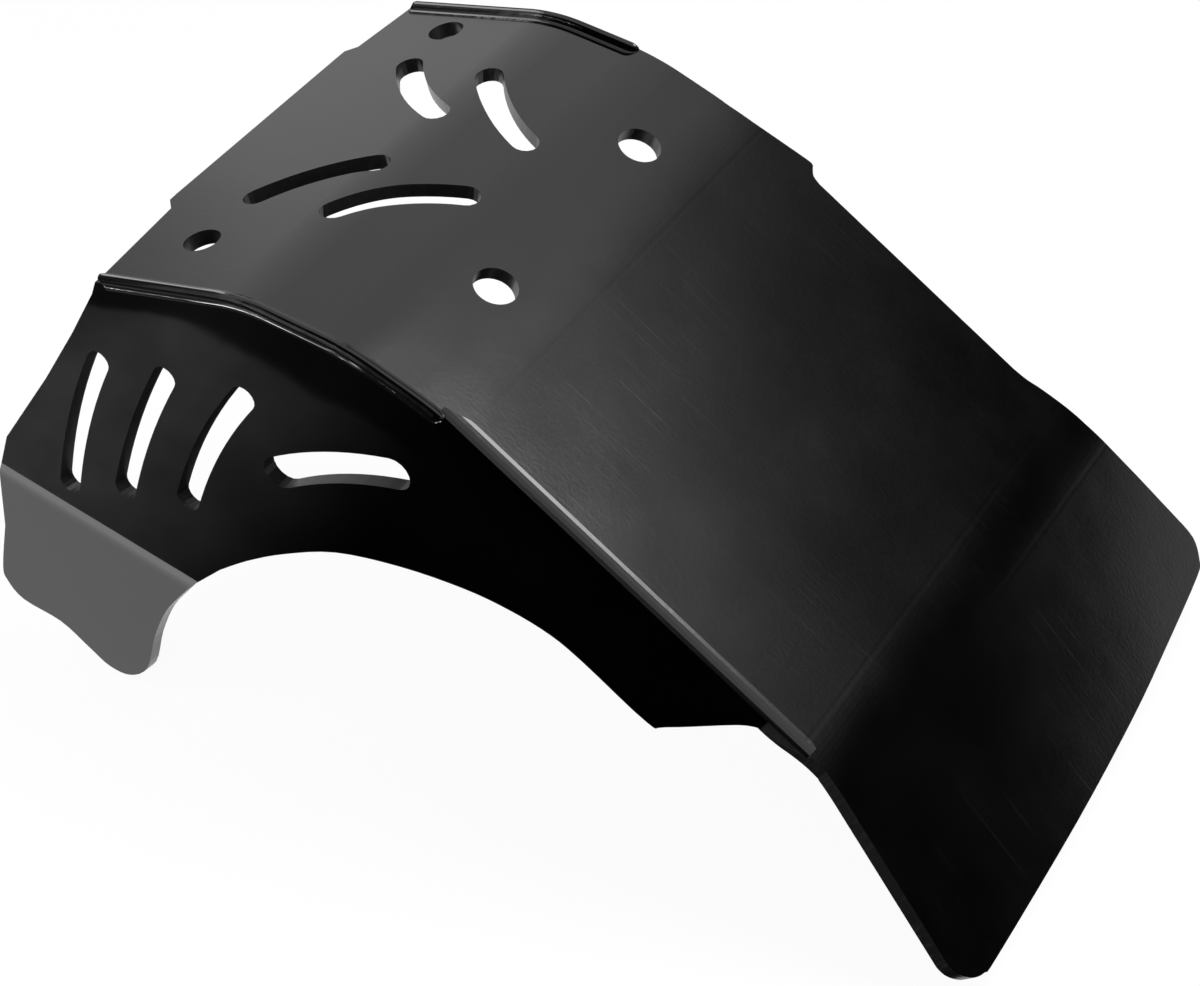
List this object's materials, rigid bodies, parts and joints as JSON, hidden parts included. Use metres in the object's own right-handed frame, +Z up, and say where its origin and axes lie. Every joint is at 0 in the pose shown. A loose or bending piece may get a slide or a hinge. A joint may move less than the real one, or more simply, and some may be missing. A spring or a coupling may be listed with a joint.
{
  "type": "motorcycle skid plate",
  "caption": "Folded and welded plastic skid plate with a domed crown, a deep vented side wing, a flared tail, curved vents and bolt holes, guarding a motorcycle engine's underside.",
  "frame": {"origin": "centre of the foot of the bounding box", "axes": "+Z up out of the dome, +X towards the flared tail along the plate, the deep side wing on -Y"},
  "size_m": [0.4706, 0.2546, 0.229],
  "materials": {
    "sheet": "satin, lightly scuffed",
    "weld": "smooth melted bead"
  },
  "bodies": {
    "root": {"plate": "sheet", "weld_bead_left": "weld", "weld_bead_right": "weld"}
  },
  "joints": []
}
